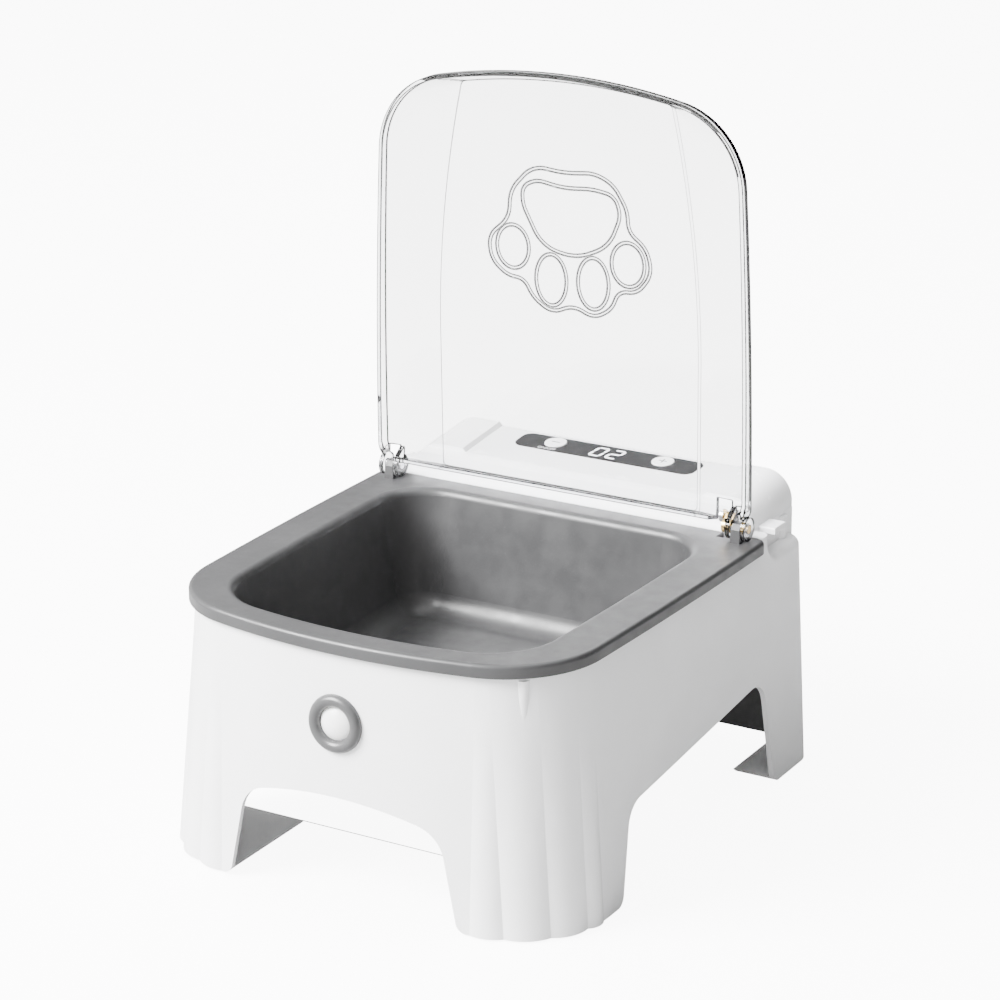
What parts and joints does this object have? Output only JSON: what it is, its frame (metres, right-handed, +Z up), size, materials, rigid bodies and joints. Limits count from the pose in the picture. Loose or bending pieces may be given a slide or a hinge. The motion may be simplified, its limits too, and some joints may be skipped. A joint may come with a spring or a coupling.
{
  "type": "automatic pet feeder",
  "caption": "Automatic pet feeder: a grey lift-out bowl under a powered clear hinged lid, on a white four-legged housing with a motion sensor and a key panel.",
  "frame": {"origin": "on the floor, under the middle of the feeder's overall length and width", "axes": "+Z up, -Y towards the front where the pet eats, +X to the side of the powered hinge"},
  "size_m": [0.2282, 0.2751, 0.3522],
  "materials": {
    "white_plastic": "soft sheen",
    "black_plastic": "fine texture",
    "bowl_grey": "satin",
    "clear_plastic": "clear, polished",
    "panel_grey": "printed film",
    "key_white": "hard coat",
    "display": "dark window",
    "circuit_board": "solder mask",
    "sensor_grey": "satin",
    "lens": "milky",
    "steel": "plain",
    "brass": "turned",
    "gear_nylon": "moulded",
    "motor_can": "drawn",
    "frame_plastic": "moulded",
    "cell_sleeve": "printed sleeve",
    "foot_rubber": "matt",
    "lead_red": "insulation",
    "lead_black": "insulation"
  },
  "bodies": {
    "housing": {"housing_shell": "white_plastic", "base_cover": "black_plastic", "control_hood": "white_plastic", "deck_clips": "white_plastic", "label_panel": "panel_grey", "tact_switches": "steel", "display_module": "display", "control_board": "circuit_board", "sensor_ring": "sensor_grey", "sensor_lens": "lens", "sensor_board": "circuit_board", "motor": "motor_can", "gear_frame": "frame_plastic", "gear_frame_cover": "frame_plastic", "gear_axles": "steel", "battery_door": "black_plastic", "battery_cells": "cell_sleeve", "battery_contacts": "steel", "power_socket": "black_plastic", "rubber_feet": "foot_rubber", "base_screws": "steel", "hood_screws": "steel", "frame_screws": "steel", "board_screws": "steel", "motor_wire": "lead_red", "battery_wire": "lead_red", "socket_wire": "lead_black", "sensor_wire": "lead_black"},
    "bowl_tray": {"bowl": "bowl_grey", "hinge_lug_left": "bowl_grey", "hinge_lug_right": "bowl_grey"},
    "lid_assembly": {"lid": "clear_plastic", "hinge_pin": "steel", "drive_pin": "brass"},
    "output_shaft": {"output_crank": "steel", "output_gear": "gear_nylon"},
    "link": {"drive_link": "steel"},
    "second_gear": {"gear_stage_two": "gear_nylon"},
    "first_gear": {"gear_stage_one": "gear_nylon"},
    "motor_rotor": {"motor_pinion": "brass", "motor_shaft": "steel"},
    "minus_button": {"minus_key": "key_white", "minus_plunger": "black_plastic"},
    "plus_button": {"plus_key": "key_white", "plus_plunger": "black_plastic"}
  },
  "joints": [
    {"name": "bowl_lift", "type": "slide", "parent": "housing", "child": "bowl_tray", "axis": [0, 0, 1], "range_m": [0, 0.075]},
    {"name": "lid_hinge", "type": "hinge", "parent": "bowl_tray", "child": "lid_assembly", "pos_m": [0, 0.076, 0.1386], "axis": [1, 0, 0], "range_deg": [0, 89]},
    {"name": "output_shaft_turn", "type": "hinge", "parent": "housing", "child": "output_shaft", "pos_m": [0, 0.104, 0.13], "axis": [1, 0, 0], "range_deg": [0, 89]},
    {"name": "link_pivot", "type": "hinge", "parent": "output_shaft", "child": "link", "pos_m": [0, 0.10757, 0.13351], "axis": [1, 0, 0], "range_deg": [-89, 0]},
    {"name": "second_gear_turn", "type": "hinge", "parent": "housing", "child": "second_gear", "pos_m": [0, 0.1112, 0.11753], "axis": [1, 0, 0], "range_deg": [-267, 0]},
    {"name": "first_gear_turn", "type": "hinge", "parent": "housing", "child": "first_gear", "pos_m": [0, 0.1112, 0.10313], "axis": [1, 0, 0], "range_deg": [0, 1014.6]},
    {"name": "motor_turn", "type": "hinge", "parent": "housing", "child": "motor_rotor", "pos_m": [0, 0.1112, 0.08873], "axis": [1, 0, 0], "range_deg": [-3855.48, 0]},
    {"name": "minus_press", "type": "slide", "parent": "housing", "child": "minus_button", "axis": [0, 0.1028, -0.9947], "range_m": [0, 0.0005], "stiffness_N_per_m": 2000, "springref_m": -0.0003},
    {"name": "plus_press", "type": "slide", "parent": "housing", "child": "plus_button", "axis": [0, 0.1028, -0.9947], "range_m": [0, 0.0005], "stiffness_N_per_m": 2000, "springref_m": -0.0003}
  ],
  "couplings": [
    {"joint": "output_shaft_turn", "follows": "lid_hinge", "ratio": 1},
    {"joint": "link_pivot", "follows": "lid_hinge", "ratio": -1},
    {"joint": "second_gear_turn", "follows": "lid_hinge", "ratio": -3},
    {"joint": "first_gear_turn", "follows": "lid_hinge", "ratio": 11.4},
    {"joint": "motor_turn", "follows": "lid_hinge", "ratio": -43.32}
  ]
}
